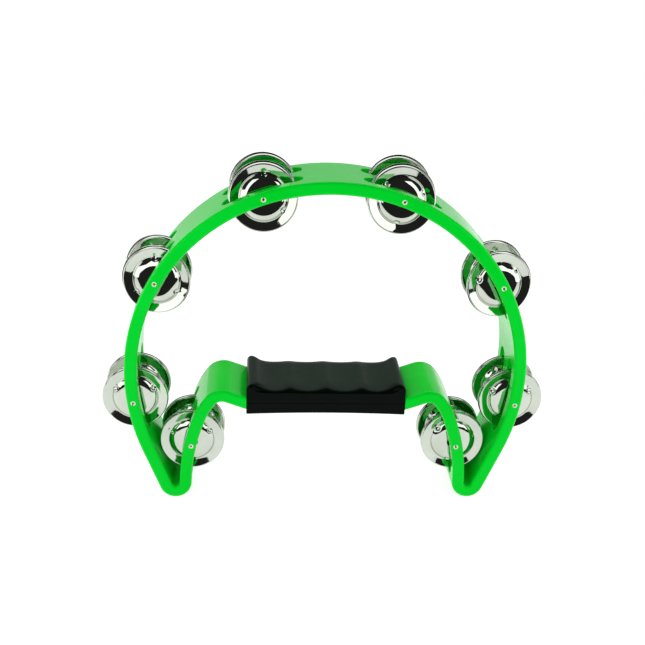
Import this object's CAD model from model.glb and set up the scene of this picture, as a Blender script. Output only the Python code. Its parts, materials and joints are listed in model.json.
"""Half-moon tambourine: green plastic frame, 16 pairs of nickel jingles on steel pins, black finger grip."""

import json
import math

import bmesh
import bpy
from mathutils import Matrix, Vector


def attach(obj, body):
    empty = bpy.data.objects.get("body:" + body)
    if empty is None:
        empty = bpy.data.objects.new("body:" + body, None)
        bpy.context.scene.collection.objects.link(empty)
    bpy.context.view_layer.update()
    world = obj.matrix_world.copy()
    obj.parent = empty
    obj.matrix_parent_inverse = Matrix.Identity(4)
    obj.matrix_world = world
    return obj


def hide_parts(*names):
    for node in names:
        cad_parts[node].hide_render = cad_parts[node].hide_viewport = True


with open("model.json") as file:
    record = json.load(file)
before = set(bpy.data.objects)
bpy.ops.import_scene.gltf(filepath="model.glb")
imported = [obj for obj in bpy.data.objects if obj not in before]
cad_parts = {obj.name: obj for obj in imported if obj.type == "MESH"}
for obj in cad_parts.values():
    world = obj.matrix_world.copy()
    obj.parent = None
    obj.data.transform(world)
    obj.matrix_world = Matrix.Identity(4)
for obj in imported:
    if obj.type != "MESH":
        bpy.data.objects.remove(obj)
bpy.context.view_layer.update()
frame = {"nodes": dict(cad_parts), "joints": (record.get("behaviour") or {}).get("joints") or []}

MM = 0.001

# Jingle, in millimetres: a pressed disc with a raised flat centre, a round shoulder and a dished flange.
JINGLE_RADIUS = 21.2
SHEET = 0.6
HOLE_RADIUS = 3.75
FLAT_RADIUS = 9.4
SHOULDER_RADIUS = 5.8
SHOULDER_TURN = -58.0
FOOT_RADIUS = 1.0
FLANGE_SLOPE = 17.0
LIP_RADIUS = 0.15
LIP_TURN = -78.0
LIP_LENGTH = 1.2
END_POINTS = 3
BORDER = 0.3
HOLE_BEVEL = 0.08
PAIR_GAP = 0.3
DENT_COUNT = 3
DENT_RADIUS = 2.5
DENT_HEIGHT = 3.15
DENT_SHEET = 0.45
DENT_CIRCLE = 15.0
DENT_EASE = 0.35
DENT_REACH = 13.0
FINE_STEP = 1.6
COARSE_STEPS = 18

# A dent's soft edge ends this many eases away from its ball.
DENT_FADE = 4

# Detail of the sheet's line where it is only measured, on its outer side and on its inner side.
LIFT_DETAIL = 4
OUTER_DETAIL = 2
INNER_DETAIL = 1

# How far round each jingle hangs turned: first disc of each station, then steps from disc to disc.
STATIONS = ["top", "upper", "lower", "inner"]
TURNS = {
    "top_left": 90, "top_right": 19, "upper_left": 92, "upper_right": 44,
    "lower_left": 31, "lower_right": 33, "inner_left": 33, "inner_right": 19,
}
JINGLE_SPREAD = 47
DENT_STEP = 23

# Grip, in millimetres.
GRIP_LENGTH = 102.0
GRIP_DEPTH = 47.6
GRIP_TOP = 82.2
GRIP_SEAM = 69.3
GRIP_BOTTOM = 61.4
GRIP_RISE = 1.1
VALLEY_HEIGHT = 78.0
INNER_VALLEY = (11.65, 30.0)
OUTER_VALLEY = (32.7, 20.0)
RIDGE_RADIUS = 8.0
LOBE_RADIUS = 5.2
CORNER_RADIUS = 4.2
FACE_TOP = 76.2
VALLEY_ROUND = 7.0
ROUND_GAIN = 2.2
LOBE_ROUND = 7.5
TOP_DROP = 3.9
LOBE_START = 30.0
LOBE_FULL = 40.0
END_FADE = (-0.5, 8.0)
SEAM_FADE = (0.3, 3.0)
END_ROUND = 1.3
SEAM_ROUND = 0.25
BOTTOM_ROUND = 0.6
BOTTOM_FADE = (2.0, 1.0)
FLAT_CORNER = 0.8
UPPER_PIECES = 12
LOWER_PIECES = 3
SHARP_ANGLE = 35.0
SCREW_SPACING = 68.0
SCREW_HEAD_RADIUS = 2.8
SCREW_HEAD_LEVEL = 62.2
SCREW_HEAD_HEIGHT = 1.6
SCREW_PLAY = 0.1
BORE_SIDES = 48

# The frame's bar inside the grip, in millimetres and degrees.
BAR_HEIGHT = 68.0
BAR_THICKNESS = 8.0
BAR_STRAIGHT = 45.85
BAR_BEND_RADIUS = 16.0
BAR_BEND_TURN = 20.0
CORE_DEPTH = 38.0
CORE_PLAY = 0.1
CORE_END = 8.0
CUT_MARGIN = 2.0

# Colours, linear, with gloss and roughness.
GREEN_DEEP = (0.0, 0.62, 0.018)
GREEN_LIGHT = (0.001, 0.68, 0.028)
GREEN_SHINE = (0.1, 1.0, 0.3, 1)
GREEN_GLOSS = 0.25
GREEN_ROUGH = (0.13, 0.23)
BLACK_SIDES = ((0.0006, 0.002, 0.001), (0.001, 0.003, 0.002))
BLACK_RESTS = ((0.006, 0.016, 0.009), (0.009, 0.020, 0.012))
BLACK_GLOSS = 0.05
BLACK_ROUGH = (0.12, 0.2)
RESTS_MATT = 0.2
RESTS_UP = (0.5, 0.8)
RESTS_ASIDE = (0.12, 0.34)
NICKEL = ((0.54, 0.58, 0.51), (0.60, 0.64, 0.57))
NICKEL_ROUGH = (0.02, 0.07)
PIN_STEEL = (1.0, 0.95, 0.8)
PIN_ROUGH = (0.5, 0.65)
PIN_METAL = 0.2
SCREW_STEEL = (0.6, 0.6, 0.6)
SCREW_ROUGH = (0.25, 0.4)
WORN_SHARE = 0.8
TABLE_WHITE = ((0.34, 0.34, 0.34), (0.36, 0.36, 0.36))
TABLE_ROUGH = 0.6

# A Mix node's sockets: its two values, its two colours, and the colour that it gives.
MIX_VALUES = (2, 3)
MIX_COLOURS = (6, 7)
MIX_RESULT = 2

# Studio, in metres and radiance.
TABLE_HALF = 2.5
TABLE_FRONT = -0.40
TABLE_BACK = 1.2
TABLE_GLOW = 0.85
SWEEP_LIGHT = 0.75
SWEEP_DIM = 0.2
WINDOW_LIGHT = 1.6
ROOM_DARK = 0.02
FILL_LIGHT = 0.36

# Where the room's light changes, as a direction's share backwards or upwards.
SWEEP_SIDE = (0.0, 0.5)
SWEEP_FADE = (0.30, 0.44)
WINDOW_BOTTOM = (0.50, 0.60)
WINDOW_TOP = (0.87, 0.92)

# Soft boxes: watts per square metre, floor points of the right-hand two, bottoms and tops in metres.
BOX_POWER = 5.5
BOX_NEAR = (0.19, -0.36)
BOX_BEND = (0.34, -0.24)
BOX_FAR = (0.62, 0.10)
TALL_BOX = (0.14, 0.60)
LOW_BOX = (0.10, 0.30)

# Camera, in metres and degrees.
CAMERA_TARGET = (-0.0044, -0.0245, 0.1258)
CAMERA_DISTANCE = 0.6592
CAMERA_AZIMUTH = -4.11
CAMERA_ELEVATION = 22.62
CAMERA_ROLL = 2.19
CAMERA_LENS = 59.48


def walk(start, heading, steps):
    """Points with their headings along arcs (radius, turn, pieces) and straight runs (length, 0, pieces)."""
    x, y = start
    angle = math.radians(heading)
    trail = [(x, y, angle)]
    for size, turn, pieces in steps:
        bend = math.radians(turn) / pieces
        chord = size / pieces if turn == 0 else 2 * size * math.sin(abs(bend) / 2)
        for _ in range(pieces):
            x += chord * math.cos(angle + bend / 2)
            y += chord * math.sin(angle + bend / 2)
            angle += bend
            trail.append((x, y, angle))
    return trail


def beside(point, offset):
    """The place at a distance to the left of a point of a trail."""
    x, y, angle = point
    return (x - offset * math.sin(angle), y + offset * math.cos(angle))


def round_end(point):
    """Points on the half circle that closes the sheet round the end of its middle line, outer side first."""
    x, y, angle = point
    spots = []
    for number in range(1, END_POINTS + 1):
        turn = angle + math.pi / 2 - math.pi * number / (END_POINTS + 1)
        spots.append((x + SHEET / 2 * math.cos(turn), y + SHEET / 2 * math.sin(turn)))
    return spots


def jingle_trail(detail):
    """The sheet's middle line from the hole to the rim. detail scales how many points each part gets."""
    slope = math.radians(FLANGE_SLOPE)
    rolled = math.radians(-FLANGE_SLOPE - LIP_TURN)
    flat = FLAT_RADIUS - HOLE_RADIUS - HOLE_BEVEL
    start = (HOLE_RADIUS + HOLE_BEVEL, 0.0)
    bends = [(BORDER, 0, 1), (flat - 2 * BORDER, 0, detail), (BORDER, 0, 1)]
    bends.append((SHOULDER_RADIUS, SHOULDER_TURN, 5 * detail))
    bends.append((FOOT_RADIUS, FLANGE_SLOPE - SHOULDER_TURN, 3 * detail))
    foot = walk(start, 0, bends)[-1]
    lip_run = LIP_RADIUS * (math.sin(slope) + math.sin(rolled)) + LIP_LENGTH * math.cos(rolled) + SHEET / 2
    flange = (JINGLE_RADIUS - foot[0] - lip_run) / math.cos(slope)
    bends += [(flange / 2, 0, detail), (flange / 2 - BORDER, 0, detail), (BORDER, 0, 1)]
    bends += [(LIP_RADIUS, LIP_TURN, 2 * detail), (LIP_LENGTH, 0, 1)]
    return walk(start, 0, bends)


def jingle_lift():
    """Distance from the middle of a pair to the middle of the flat centre's sheet."""
    return PAIR_GAP / 2 - min(beside(p, -SHEET / 2)[1] for p in jingle_trail(LIFT_DETAIL))


def jingle_section():
    """The disc's closed section as (radius, height, outer side or not)."""
    fine = jingle_trail(OUTER_DETAIL)
    plain = jingle_trail(INNER_DETAIL)
    lift = jingle_lift()
    outer = [(*beside(p, SHEET / 2), True) for p in fine]
    rim = [(*p, True) for p in round_end(fine[-1])]
    inner = [(*beside(p, -SHEET / 2), False) for p in reversed(plain)]
    hole = [(HOLE_RADIUS, side * (SHEET / 2 - HOLE_BEVEL), False) for side in (-1, 1)]
    return [(r, h + lift, side) for r, h, side in outer + rim + inner + hole]


def jingle_angles():
    """Angles round the disc, closer together across each dent."""
    third = 360 / DENT_COUNT
    fine = round(2 * DENT_REACH / FINE_STEP)
    angles = []
    for dent in range(DENT_COUNT):
        begin = dent * third - DENT_REACH
        angles += [begin + 2 * DENT_REACH * k / fine for k in range(fine)]
        rest = third - 2 * DENT_REACH
        angles += [begin + 2 * DENT_REACH + rest * k / COARSE_STEPS for k in range(COARSE_STEPS)]
    return [math.radians(a) for a in angles]


def press_dents(point, outer):
    """The point pushed out of each dent's ball, with a soft edge."""
    ball = DENT_RADIUS if outer else DENT_RADIUS + DENT_SHEET
    for dent in range(DENT_COUNT):
        turn = math.radians(360 / DENT_COUNT * dent)
        centre = Vector((DENT_CIRCLE * math.cos(turn), DENT_CIRCLE * math.sin(turn), DENT_HEIGHT))
        away = point - centre
        depth = away.length - ball
        if depth < DENT_FADE * DENT_EASE:
            eased = (depth + math.hypot(depth, DENT_EASE)) / 2 - DENT_EASE / DENT_FADE ** 2
            point = centre + away.normalized() * (ball + max(eased, depth))
    return point


def jingle_mesh():
    """One jingle with its axis along +Z, raised centre up, in metres."""
    section = jingle_section()
    angles = jingle_angles()
    bm = bmesh.new()
    rings = []
    for angle in angles:
        ring = []
        for radius, height, outer in section:
            point = Vector((radius * math.cos(angle), radius * math.sin(angle), height))
            ring.append(bm.verts.new(press_dents(point, outer) * MM))
        rings.append(ring)
    for this, after in zip(rings, rings[1:] + rings[:1]):
        for k in range(len(section)):
            follow = (k + 1) % len(section)
            bm.faces.new((this[k], after[k], after[follow], this[follow]))
    bmesh.ops.recalc_face_normals(bm, faces=bm.faces)
    mesh = bpy.data.meshes.new("jingle")
    bm.to_mesh(mesh)
    bm.free()
    for polygon in mesh.polygons:
        polygon.use_smooth = True
    return mesh


def jingle_spin(station, row, rank):
    """How far a disc is turned about the depth axis, in degrees."""
    number = 2 * STATIONS.index(station.split("_")[0]) + station.endswith("right")
    return TURNS[station] + (2 * row + rank) * JINGLE_SPREAD + row * number * DENT_STEP


def make_jingles(material):
    """A detailed disc in place of every packed jingle, hung and leaned as its pair's spin joint is."""
    mesh = jingle_mesh()
    mesh.materials.append(material)
    lift = jingle_lift() * MM
    spins = {joint["child"]: joint for joint in frame["joints"] if joint["type"] == "hinge"}
    for station in TURNS:
        for row, depth in enumerate(("front", "back")):
            pair = f"jingle_{station}_{depth}"
            joint = spins[pair + "_b"]
            lean = Vector((0, 1, 0)).rotation_difference(Vector(joint["axis"])).to_matrix().to_4x4()
            middle = Vector(joint["pos_m"]) - Vector((0, lift, 0))
            for rank, letter in enumerate("ab"):
                node = f"{pair}_{letter}"
                out = Vector((0, lift if letter == "b" else -lift, 0))
                spin = Matrix.Rotation(-math.radians(jingle_spin(station, row, rank)), 4, "Y")
                facing = Matrix.Rotation(math.radians(-90 if letter == "b" else 90), 4, "X")
                disc = bpy.data.objects.new(node + "_disc", mesh)
                bpy.context.scene.collection.objects.link(disc)
                hub = Matrix.Translation(middle + out) @ lean @ Matrix.Translation(-out)
                disc.matrix_world = hub @ spin @ facing
                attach(disc, node)
                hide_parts(node)


def ease(value, low, high):
    """0 below low, 1 above high and smooth between."""
    share = min(1.0, max(0.0, (value - low) / (high - low)))
    return share * share * (3 - 2 * share)


def ridge_turns():
    """Degrees from the lowest point of the inner and of the outer valley round to the ridge between them."""
    across = OUTER_VALLEY[0] - INNER_VALLEY[0]
    rise = INNER_VALLEY[1] - OUTER_VALLEY[1]
    apart = math.hypot(across, rise)
    tilt = math.atan2(rise, across)
    inner = INNER_VALLEY[1] + RIDGE_RADIUS
    outer = OUTER_VALLEY[1] + RIDGE_RADIUS
    at_inner = math.acos((apart ** 2 + inner ** 2 - outer ** 2) / (2 * apart * inner))
    at_outer = math.acos((apart ** 2 + outer ** 2 - inner ** 2) / (2 * apart * outer))
    return 90 - math.degrees(tilt + at_inner), 90 + math.degrees(tilt - at_outer)


def upper_outline():
    """Closed outline of the grip's upper shell from its lower left corner, up, along the fingers and down."""
    outer_x, outer_radius = OUTER_VALLEY
    inner_x, inner_radius = INNER_VALLEY
    reach = outer_radius + LOBE_RADIUS
    lobe = math.acos((VALLEY_HEIGHT + outer_radius - GRIP_TOP + LOBE_RADIUS) / reach)
    lobe_run = GRIP_LENGTH / 2 - outer_x - reach * math.sin(lobe) - CORNER_RADIUS
    lobe_turn = math.degrees(lobe)
    inner_turn, outer_turn = ridge_turns()
    middle_turn = math.degrees(math.asin(inner_x / (inner_radius + RIDGE_RADIUS)))
    side = GRIP_TOP - GRIP_SEAM - CORNER_RADIUS - FLAT_CORNER
    steps = [(side, 0, 6), (CORNER_RADIUS, -90, 9), (lobe_run, 0, 1), (LOBE_RADIUS, -lobe_turn, 6)]
    steps += [(outer_radius, lobe_turn + outer_turn, 14), (RIDGE_RADIUS, -outer_turn - inner_turn, 8)]
    steps += [(inner_radius, inner_turn + middle_turn, 14), (RIDGE_RADIUS, -2 * middle_turn, 8)]
    steps += [(inner_radius, middle_turn + inner_turn, 14), (RIDGE_RADIUS, -inner_turn - outer_turn, 8)]
    steps += [(outer_radius, outer_turn + lobe_turn, 14), (LOBE_RADIUS, -lobe_turn, 6), (lobe_run, 0, 1)]
    steps += [(CORNER_RADIUS, -90, 9), (side, 0, 6), (FLAT_CORNER, -90, 3)]
    steps += [(GRIP_LENGTH - 2 * FLAT_CORNER, 0, 24), (FLAT_CORNER, -90, 3)]
    return walk((-GRIP_LENGTH / 2, GRIP_SEAM + FLAT_CORNER), 90, steps)[:-1]


def lower_outline():
    """Closed outline of the grip's lower shell from its lower left corner, with its hollow underside."""
    half = GRIP_LENGTH / 2
    hollow = (half ** 2 + GRIP_RISE ** 2) / (2 * GRIP_RISE)
    slope = math.degrees(math.asin((half - FLAT_CORNER) / hollow))
    side = GRIP_SEAM - GRIP_BOTTOM - 2 * FLAT_CORNER
    steps = [(side, 0, 3), (FLAT_CORNER, -90, 3), (GRIP_LENGTH - 2 * FLAT_CORNER, 0, 24)]
    steps += [(FLAT_CORNER, -90, 3), (side, 0, 3), (FLAT_CORNER, -90 - slope, 3)]
    steps += [(hollow, 2 * slope, 24), (FLAT_CORNER, -90 - slope, 3)]
    return walk((-half, GRIP_BOTTOM + FLAT_CORNER), 90, steps)[:-1]


def upper_round(x, z):
    """How far the upper shell's long edge is rounded down and back, most along the fingers."""
    inside = ease(GRIP_LENGTH / 2 - abs(x), *END_FADE)
    lobe = ease(abs(x), LOBE_START, LOBE_FULL)
    fingers = VALLEY_ROUND + ROUND_GAIN * max(0.0, z - VALLEY_HEIGHT)
    down = END_ROUND + (min(z - FACE_TOP, TOP_DROP) - END_ROUND) * inside
    back = END_ROUND + (fingers + (LOBE_ROUND - fingers) * lobe - END_ROUND) * inside
    above = ease(z - GRIP_SEAM, *SEAM_FADE)
    return SEAM_ROUND + (down - SEAM_ROUND) * above, SEAM_ROUND + (back - SEAM_ROUND) * above


def lower_round(_, z):
    """How far the lower shell's long edge is rounded down and back."""
    above = ease(z, GRIP_BOTTOM + BOTTOM_FADE[0], GRIP_SEAM - BOTTOM_FADE[1])
    radius = BOTTOM_ROUND + (SEAM_ROUND - BOTTOM_ROUND) * above
    return radius, radius


def rounded_block(name, outline, rounding, pieces):
    """A solid as deep as the grip with an outline in X and Z and rounded edges round its front and back."""
    bm = bmesh.new()
    rings = []
    for side in (-1, 1):
        for step in range(pieces + 1):
            lean = math.radians(90) * (pieces - step if side < 0 else step) / pieces
            ring = []
            for x, z, angle in outline:
                down, back = rounding(x, z)
                inset = down * (1 - math.cos(lean))
                depth = GRIP_DEPTH / 2 - back * (1 - math.sin(lean))
                place = Vector((x + math.sin(angle) * inset, side * depth, z - math.cos(angle) * inset))
                ring.append(bm.verts.new(place * MM))
            rings.append(ring)
    for near, far in zip(rings, rings[1:]):
        for k in range(len(outline)):
            follow = (k + 1) % len(outline)
            bm.faces.new((near[k], near[follow], far[follow], far[k]))
    bm.faces.new(rings[0])
    bm.faces.new(rings[-1])
    bmesh.ops.recalc_face_normals(bm, faces=bm.faces)
    return mesh_object(name, bm)


def mesh_object(name, bm):
    """A new object with the smooth-shaded mesh of bm."""
    mesh = bpy.data.meshes.new(name)
    bm.to_mesh(mesh)
    bm.free()
    for polygon in mesh.polygons:
        polygon.use_smooth = True
    thing = bpy.data.objects.new(name, mesh)
    bpy.context.scene.collection.objects.link(thing)
    return thing


def band_core():
    """The space that the frame's thinned bar takes inside the grip."""
    half = BAR_THICKNESS / 2 + CORE_PLAY
    run = walk((BAR_STRAIGHT, BAR_HEIGHT), 0, [(BAR_BEND_RADIUS, BAR_BEND_TURN, 8), (CORE_END, 0, 1)])
    above = [beside(p, half) for p in run]
    below = [beside(p, -half) for p in run]
    outline = above + below[::-1]
    outline += [(-x, z) for x, z in below] + [(-x, z) for x, z in reversed(above)]
    bm = bmesh.new()
    depth = CORE_DEPTH / 2 + CORE_PLAY
    sides = [[bm.verts.new(Vector((x, y, z)) * MM) for x, z in outline] for y in (-depth, depth)]
    for k in range(len(outline)):
        follow = (k + 1) % len(outline)
        bm.faces.new((sides[0][k], sides[0][follow], sides[1][follow], sides[1][k]))
    bm.faces.new(sides[0])
    bm.faces.new(sides[1])
    bmesh.ops.recalc_face_normals(bm, faces=bm.faces)
    return mesh_object("core", bm)


def bore(radius, low, high, x):
    """A round upright cutter."""
    bm = bmesh.new()
    bmesh.ops.create_cone(bm, cap_ends=True, segments=BORE_SIDES, radius1=radius * MM,
                          radius2=radius * MM, depth=(high - low) * MM)
    bmesh.ops.translate(bm, verts=bm.verts, vec=Vector((x, 0, (low + high) / 2)) * MM)
    return mesh_object("bore", bm)


def carve(thing, cutters):
    """Cuts the cutters out of thing, then shades it smooth between its sharp edges."""
    for cutter in cutters:
        cut = thing.modifiers.new("cut", "BOOLEAN")
        cut.operation = "DIFFERENCE"
        cut.solver = "EXACT"
        cut.object = cutter
    graph = bpy.context.evaluated_depsgraph_get()
    mesh = bpy.data.meshes.new_from_object(thing.evaluated_get(graph))
    thing.modifiers.clear()
    thing.data = mesh
    for polygon in mesh.polygons:
        polygon.use_smooth = True
    mesh.set_sharp_from_angle(angle=math.radians(SHARP_ANGLE))
    level = thing.modifiers.new("level", "WEIGHTED_NORMAL")
    level.keep_sharp = True
    level.weight = 100
    for cutter in cutters:
        bpy.data.objects.remove(cutter)


def make_grip(material):
    """Both shells of the grip, hollow where the bar and the screws go through."""
    upper = rounded_block("grip_upper_shell", upper_outline(), upper_round, UPPER_PIECES)
    carve(upper, [band_core()])
    lower = rounded_block("grip_lower_shell", lower_outline(), lower_round, LOWER_PIECES)
    cutters = [band_core()]
    for side in (-1, 1):
        x = side * SCREW_SPACING / 2
        top = SCREW_HEAD_LEVEL + SCREW_HEAD_HEIGHT
        cutters.append(bore(SCREW_HEAD_RADIUS + SCREW_PLAY, GRIP_BOTTOM - CUT_MARGIN, top, x))
    carve(lower, cutters)
    for shell, node in ((upper, "grip_upper"), (lower, "grip_lower")):
        shell.data.materials.clear()
        shell.data.materials.append(material)
        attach(shell, "frame_body")
        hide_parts(node)


def new_material(name):
    """An empty node material with its principled shader, its output and a maker of further nodes."""
    material = bpy.data.materials.new(name)
    material.use_nodes = True
    tree = material.node_tree
    shader = tree.nodes["Principled BSDF"]

    def add(kind, **settings):
        node = tree.nodes.new(kind)
        for key, value in settings.items():
            if key in node.bl_rna.properties:
                setattr(node, key, value)
            else:
                node.inputs[key.replace("_", " ")].default_value = value
        return node

    return material, tree, shader, add


def noise(tree, add, scale, detail=3.0, stretch=(1, 1, 1)):
    """The value of a noise in the piece's own coordinates. scale is in features per metre."""
    place = add("ShaderNodeTexCoord")
    mapping = add("ShaderNodeMapping", Scale=stretch)
    tree.links.new(place.outputs["Object"], mapping.inputs["Vector"])
    texture = add("ShaderNodeTexNoise", Scale=scale, Detail=detail)
    tree.links.new(mapping.outputs[0], texture.inputs["Vector"])
    return texture.outputs["Fac"]


def spread(tree, add, value, low, high, start=0.3, end=0.7):
    """value from start to end mapped to between low and high."""
    mapped = add("ShaderNodeMapRange")
    tree.links.new(value, mapped.inputs["Value"])
    for socket, number in (("From Min", start), ("From Max", end), ("To Min", low), ("To Max", high)):
        mapped.inputs[socket].default_value = number
    return mapped.outputs[0]


def bump(tree, add, shader, value, strength, distance):
    """value as a bump on the shader, distance in metres."""
    node = add("ShaderNodeBump", Strength=strength, Distance=distance)
    tree.links.new(value, node.inputs["Height"])
    tree.links.new(node.outputs[0], shader.inputs["Normal"])


def mix_colours(tree, add, value, first, second):
    """A colour between two by value."""
    node = add("ShaderNodeMix", data_type="RGBA")
    tree.links.new(value, node.inputs[0])
    node.inputs[MIX_COLOURS[0]].default_value = (*first, 1)
    node.inputs[MIX_COLOURS[1]].default_value = (*second, 1)
    return node.outputs[MIX_RESULT]


def green_plastic():
    """Glossy moulded plastic with a slightly uneven colour and shine."""
    material, tree, shader, add = new_material("green_plastic")
    cloud = spread(tree, add, noise(tree, add, 18), 0, 1)
    colour = mix_colours(tree, add, cloud, GREEN_DEEP, GREEN_LIGHT)
    tree.links.new(colour, shader.inputs["Base Color"])
    smear = noise(tree, add, 60, 4, (1, 3, 1))
    tree.links.new(spread(tree, add, smear, *GREEN_ROUGH), shader.inputs["Roughness"])
    shader.inputs["Specular IOR Level"].default_value = GREEN_GLOSS
    shader.inputs["Specular Tint"].default_value = GREEN_SHINE
    bump(tree, add, shader, noise(tree, add, 900, 2), 0.12, 0.00005)
    return material


def black_plastic():
    """Smooth and black at the sides, a little paler and more matt where the fingers rest."""
    material, tree, shader, add = new_material("black_plastic")
    cloud = spread(tree, add, noise(tree, add, 40), 0, 1)
    place = add("ShaderNodeTexCoord")
    parts = add("ShaderNodeSeparateXYZ")
    tree.links.new(place.outputs["Normal"], parts.inputs[0])
    sideways = add("ShaderNodeMath", operation="ABSOLUTE")
    tree.links.new(parts.outputs["Y"], sideways.inputs[0])
    rests = add("ShaderNodeMath", operation="MULTIPLY")
    tree.links.new(spread(tree, add, parts.outputs["Z"], 0, 1, *RESTS_UP), rests.inputs[0])
    tree.links.new(spread(tree, add, sideways.outputs[0], 1, 0, *RESTS_ASIDE), rests.inputs[1])
    colour = add("ShaderNodeMix", data_type="RGBA")
    tree.links.new(rests.outputs[0], colour.inputs[0])
    tree.links.new(mix_colours(tree, add, cloud, *BLACK_SIDES), colour.inputs[MIX_COLOURS[0]])
    tree.links.new(mix_colours(tree, add, cloud, *BLACK_RESTS), colour.inputs[MIX_COLOURS[1]])
    tree.links.new(colour.outputs[MIX_RESULT], shader.inputs["Base Color"])
    matt = add("ShaderNodeMath", operation="MULTIPLY_ADD")
    tree.links.new(rests.outputs[0], matt.inputs[0])
    matt.inputs[1].default_value = RESTS_MATT
    tree.links.new(spread(tree, add, noise(tree, add, 120, 4), *BLACK_ROUGH), matt.inputs[2])
    tree.links.new(matt.outputs[0], shader.inputs["Roughness"])
    shader.inputs["Specular IOR Level"].default_value = BLACK_GLOSS
    bump(tree, add, shader, noise(tree, add, 1500, 2), 0.1, 0.00005)
    return material


def nickel():
    """Polished plate with fine turning rings from the press tool and faint handling haze."""
    material, tree, shader, add = new_material("jingle_nickel")
    cloud = spread(tree, add, noise(tree, add, 120), 0, 1)
    colour = mix_colours(tree, add, cloud, *NICKEL)
    tree.links.new(colour, shader.inputs["Base Color"])
    shader.inputs["Metallic"].default_value = 1.0
    haze = noise(tree, add, 260, 4)
    tree.links.new(spread(tree, add, haze, *NICKEL_ROUGH), shader.inputs["Roughness"])
    place = add("ShaderNodeTexCoord")
    parts = add("ShaderNodeSeparateXYZ")
    tree.links.new(place.outputs["Object"], parts.inputs[0])
    flat = add("ShaderNodeCombineXYZ")
    tree.links.new(parts.outputs[0], flat.inputs[0])
    tree.links.new(parts.outputs[1], flat.inputs[1])
    radius = add("ShaderNodeVectorMath", operation="LENGTH")
    tree.links.new(flat.outputs[0], radius.inputs[0])
    rings = add("ShaderNodeTexNoise", noise_dimensions="1D", Scale=9000.0, Detail=2.0)
    tree.links.new(radius.outputs["Value"], rings.inputs["W"])
    bump(tree, add, shader, rings.outputs["Fac"], 0.06, 0.00001)
    return material


def steel(name, colour, rough, metal):
    """Drawn steel, with its lowest and highest roughness and a metallic share."""
    material, tree, shader, add = new_material(name)
    cloud = spread(tree, add, noise(tree, add, 700), 0, 1)
    worn = mix_colours(tree, add, cloud, [c * WORN_SHARE for c in colour], colour)
    tree.links.new(worn, shader.inputs["Base Color"])
    shader.inputs["Metallic"].default_value = metal
    tree.links.new(spread(tree, add, noise(tree, add, 1500), *rough), shader.inputs["Roughness"])
    bump(tree, add, shader, noise(tree, add, 3000, 2, (1, 0.1, 1)), 0.15, 0.00003)
    return material


def finish_nodes(names, material):
    """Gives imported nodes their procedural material."""
    for name in names:
        node = frame["nodes"][name]
        node.data.materials.clear()
        node.data.materials.append(material)


def make_floor():
    """The white table that the instrument stands on, and a fill light in its own colour."""
    bm = bmesh.new()
    corners = [(-TABLE_HALF, TABLE_FRONT), (TABLE_HALF, TABLE_FRONT), (TABLE_HALF, TABLE_BACK),
               (-TABLE_HALF, TABLE_BACK)]
    bm.faces.new([bm.verts.new((x, y, 0)) for x, y in corners])
    table = mesh_object("table", bm)
    material, tree, shader, add = new_material("white_table")
    shade = mix_colours(tree, add, noise(tree, add, 3), *TABLE_WHITE)
    tree.links.new(shade, shader.inputs["Base Color"])
    shader.inputs["Roughness"].default_value = TABLE_ROUGH
    shader.inputs["Emission Color"].default_value = (1, 1, 1, 1)
    shader.inputs["Emission Strength"].default_value = TABLE_GLOW
    table.data.materials.append(material)


def make_camera():
    """The camera, at its azimuth, height angle, distance and slight roll about its target."""
    data = bpy.data.cameras.new("camera")
    data.lens = CAMERA_LENS
    data.sensor_width = 36.0
    camera = bpy.data.objects.new("camera", data)
    bpy.context.scene.collection.objects.link(camera)
    turn = math.radians(CAMERA_AZIMUTH)
    rise = math.radians(CAMERA_ELEVATION)
    back = Vector((math.sin(turn) * math.cos(rise), -math.cos(turn) * math.cos(rise), math.sin(rise)))
    roll = Matrix.Rotation(math.radians(CAMERA_ROLL), 3, "Z").to_quaternion()
    camera.rotation_mode = "QUATERNION"
    camera.location = Vector(CAMERA_TARGET) + back * CAMERA_DISTANCE
    camera.rotation_quaternion = (-back).to_track_quat("-Z", "Y") @ roll
    bpy.context.scene.camera = camera


def soft_box(name, near, far, bottom, top):
    """An upright soft box above the line between two floor points, shining towards the object."""
    start, end = Vector(near), Vector(far)
    middle = ((start + end) / 2).to_3d() + Vector((0, 0, (bottom + top) / 2))
    along = (end - start).to_3d().normalized()
    facing = along.cross(Vector((0, 0, 1)))
    if facing.dot(middle) > 0:
        facing.negate()
    data = bpy.data.lights.new(name, "AREA")
    data.shape = "RECTANGLE"
    data.size = (end - start).length
    data.size_y = top - bottom
    data.energy = BOX_POWER * data.size * data.size_y
    light = bpy.data.objects.new(name, data)
    bpy.context.scene.collection.objects.link(light)
    light.location = middle
    light.rotation_mode = "QUATERNION"
    light.rotation_quaternion = facing.to_track_quat("-Z", "Y")
    light.visible_camera = False


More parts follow.
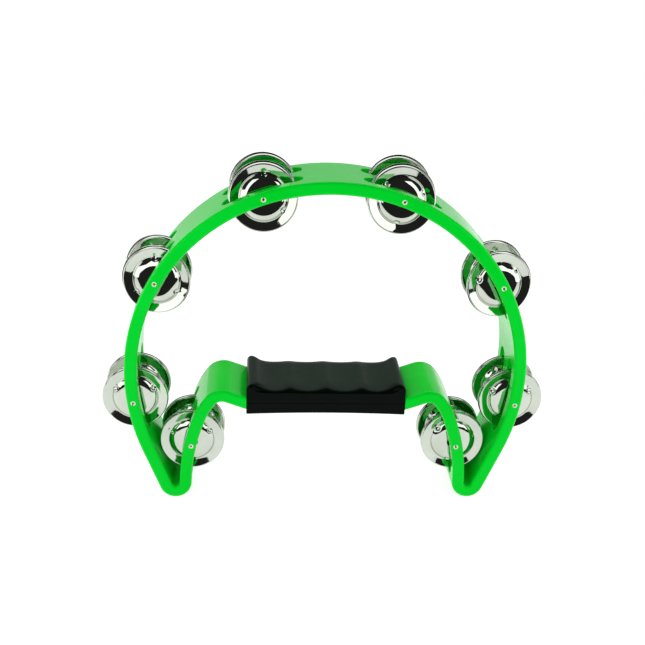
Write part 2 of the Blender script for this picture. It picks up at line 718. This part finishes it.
def make_room():
    """A dark studio with a bright sweep behind, plain white where the camera looks straight at it."""
    world = bpy.data.worlds.new("studio")
    world.use_nodes = True
    tree = world.node_tree
    tree.nodes.clear()
    output = tree.nodes.new("ShaderNodeOutputWorld")
    place = tree.nodes.new("ShaderNodeTexCoord")
    parts = tree.nodes.new("ShaderNodeSeparateXYZ")
    tree.links.new(place.outputs["Generated"], parts.inputs[0])

    def ramp(value, ends, first, last):
        node = tree.nodes.new("ShaderNodeMapRange")
        node.interpolation_type = "SMOOTHSTEP"
        tree.links.new(value, node.inputs["Value"])
        for socket, number in zip(("From Min", "From Max", "To Min", "To Max"), (*ends, first, last)):
            node.inputs[socket].default_value = number
        return node.outputs[0]

    behind = ramp(parts.outputs["Y"], SWEEP_SIDE, 0.0, 1.0)
    low = ramp(parts.outputs["Z"], SWEEP_FADE, SWEEP_LIGHT, SWEEP_DIM)
    high = ramp(parts.outputs["Z"], WINDOW_TOP, WINDOW_LIGHT, 0.0)
    level = tree.nodes.new("ShaderNodeMix")
    tree.links.new(ramp(parts.outputs["Z"], WINDOW_BOTTOM, 0.0, 1.0), level.inputs[0])
    tree.links.new(low, level.inputs[MIX_VALUES[0]])
    tree.links.new(high, level.inputs[MIX_VALUES[1]])
    sweep = tree.nodes.new("ShaderNodeMath")
    sweep.operation = "MULTIPLY"
    tree.links.new(behind, sweep.inputs[0])
    tree.links.new(level.outputs[0], sweep.inputs[1])
    room = tree.nodes.new("ShaderNodeMath")
    room.operation = "MAXIMUM"
    tree.links.new(sweep.outputs[0], room.inputs[0])
    room.inputs[1].default_value = ROOM_DARK
    path = tree.nodes.new("ShaderNodeLightPath")
    fill = tree.nodes.new("ShaderNodeMath")
    fill.operation = "MULTIPLY_ADD"
    tree.links.new(path.outputs["Is Diffuse Ray"], fill.inputs[0])
    fill.inputs[1].default_value = FILL_LIGHT
    tree.links.new(room.outputs[0], fill.inputs[2])
    soft = tree.nodes.new("ShaderNodeBackground")
    soft.inputs["Color"].default_value = (1, 1, 1, 1)
    tree.links.new(fill.outputs[0], soft.inputs["Strength"])
    white = tree.nodes.new("ShaderNodeBackground")
    white.inputs["Color"].default_value = (1, 1, 1, 1)
    seen = tree.nodes.new("ShaderNodeMixShader")
    tree.links.new(path.outputs["Is Camera Ray"], seen.inputs[0])
    tree.links.new(soft.outputs[0], seen.inputs[1])
    tree.links.new(white.outputs[0], seen.inputs[2])
    tree.links.new(seen.outputs[0], output.inputs["Surface"])
    bpy.context.scene.world = world
    bpy.context.scene.view_settings.view_transform = "Standard"


make_jingles(nickel())
make_grip(black_plastic())
finish_nodes(["frame"], green_plastic())
finish_nodes([f"pin_{station}" for station in TURNS], steel("pin_steel", PIN_STEEL, PIN_ROUGH, PIN_METAL))
finish_nodes(["grip_screws"], steel("screw_steel", SCREW_STEEL, SCREW_ROUGH, 1.0))
make_floor()
make_camera()
make_room()
for side, sign in (("left", -1), ("right", 1)):
    near, bend, far = ((sign * x, y) for x, y in (BOX_NEAR, BOX_BEND, BOX_FAR))
    soft_box(f"tall_box_{side}", near, bend, *TALL_BOX)
    soft_box(f"low_box_{side}", bend, far, *LOW_BOX)
